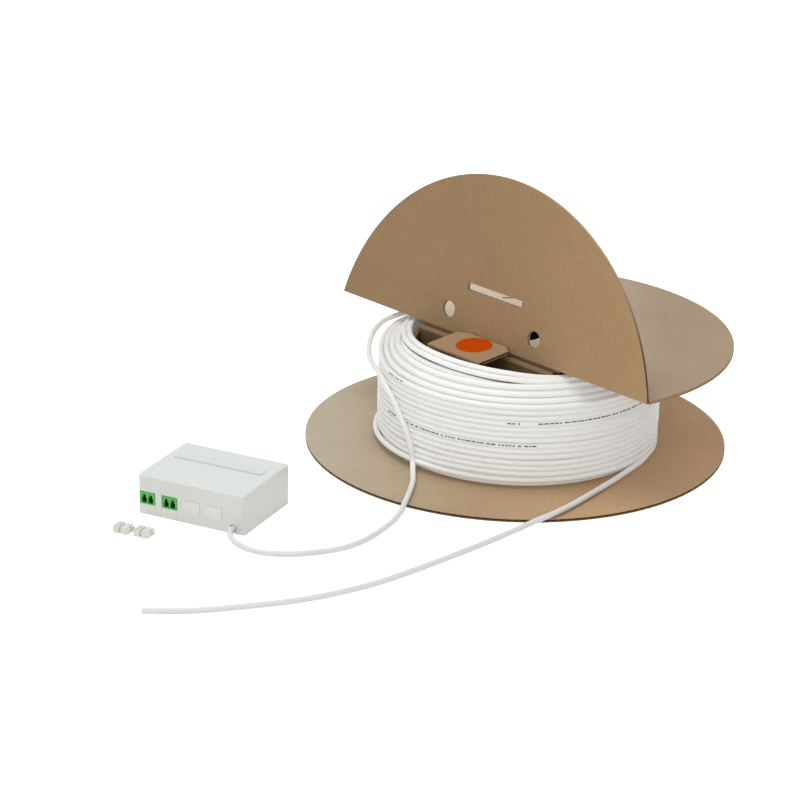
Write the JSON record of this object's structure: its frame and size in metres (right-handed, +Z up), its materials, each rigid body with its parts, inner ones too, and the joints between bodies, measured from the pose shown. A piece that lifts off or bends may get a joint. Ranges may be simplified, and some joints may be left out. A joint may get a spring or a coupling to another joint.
{
  "type": "fibre optic termination box",
  "caption": "White wall-mount fibre termination box with green duplex ports and its pre-fitted white cable, wound on a cardboard reel whose upper flange folds up along a crease.",
  "frame": {"origin": "centre of the terminal box's mounting face, on the floor plane it stands on", "axes": "+X along the port side to its right, +Y from the port side to the back, +Z up from the mounting face"},
  "size_m": [0.406, 0.6687, 0.2502],
  "materials": {
    "white_plastic": "moulded white plastic, fine satin surface",
    "cap_plastic": "soft off-white plastic",
    "green_plastic": "glossy green plastic",
    "zirconia": "ground white ceramic",
    "screw_steel": "zinc-plated steel",
    "fibre_coating": "coloured fibre coating",
    "sleeve_plastic": "clear shrink sleeve",
    "cable_sheath": "white low-smoke sheath, satin",
    "corrugated_board": "brown kraft liner with cut edges",
    "seal_paper": "orange coated paper seal"
  },
  "bodies": {
    "frame": {"base_plate": "white_plastic", "adapter_left": "green_plastic", "adapter_right": "green_plastic", "alignment_sleeves": "zirconia", "adapter_retainer": "white_plastic", "retainer_screws": "screw_steel", "pigtail_connectors": "green_plastic", "pigtail_fibres": "fibre_coating", "splice_tray": "white_plastic", "tray_screws": "screw_steel", "splice_holder": "white_plastic", "splice_protectors": "sleeve_plastic", "cable_fibres": "fibre_coating", "cable_entry": "cable_sheath", "cable_clamp": "white_plastic", "clamp_screws": "screw_steel", "lower_flange": "corrugated_board", "hub_shell": "corrugated_board", "hub_cross_wall": "corrugated_board", "hub_front_wall": "corrugated_board", "upper_flange_fixed": "corrugated_board", "winding_core": "cable_sheath", "cable_winding": "cable_sheath", "cable_lead": "cable_sheath", "cable_tail": "cable_sheath"},
    "cover": {"box_cover": "white_plastic"},
    "blank_left": {"blank_insert_left": "white_plastic"},
    "blank_right": {"blank_insert_right": "white_plastic"},
    "cap_left": {"dust_cap_left": "cap_plastic"},
    "cap_right": {"dust_cap_right": "cap_plastic"},
    "flap": {"upper_flange_flap": "corrugated_board"},
    "tab": {"locking_tab": "corrugated_board", "tab_seal": "seal_paper"}
  },
  "joints": [
    {"name": "cover_lift", "type": "slide", "parent": "frame", "child": "cover", "axis": [0, 0, 1], "range_m": [0, 0.06]},
    {"name": "blank_left_pull", "type": "slide", "parent": "frame", "child": "blank_left", "axis": [0, -1, 0], "range_m": [0, 0.02]},
    {"name": "blank_right_pull", "type": "slide", "parent": "frame", "child": "blank_right", "axis": [0, -1, 0], "range_m": [0, 0.02]},
    {"name": "cap_left_lift", "type": "slide", "parent": "frame", "child": "cap_left", "axis": [0, 0, 1], "range_m": [0, 0.05]},
    {"name": "cap_right_lift", "type": "slide", "parent": "frame", "child": "cap_right", "axis": [0, 0, 1], "range_m": [0, 0.05]},
    {"name": "flap_fold", "type": "hinge", "parent": "frame", "child": "flap", "pos_m": [0.14799, 0.23108, 0.10115], "axis": [-0.9361, 0.3518, 0], "range_deg": [-99, 78]},
    {"name": "tab_fold", "type": "hinge", "parent": "frame", "child": "tab", "pos_m": [0.13232, 0.18938, 0.1013], "axis": [0.9361, -0.3518, 0], "range_deg": [-91, 72]}
  ],
  "couplings": [
    {"joint": "tab_fold", "follows": "flap_fold", "ratio": 0.904}
  ]
}
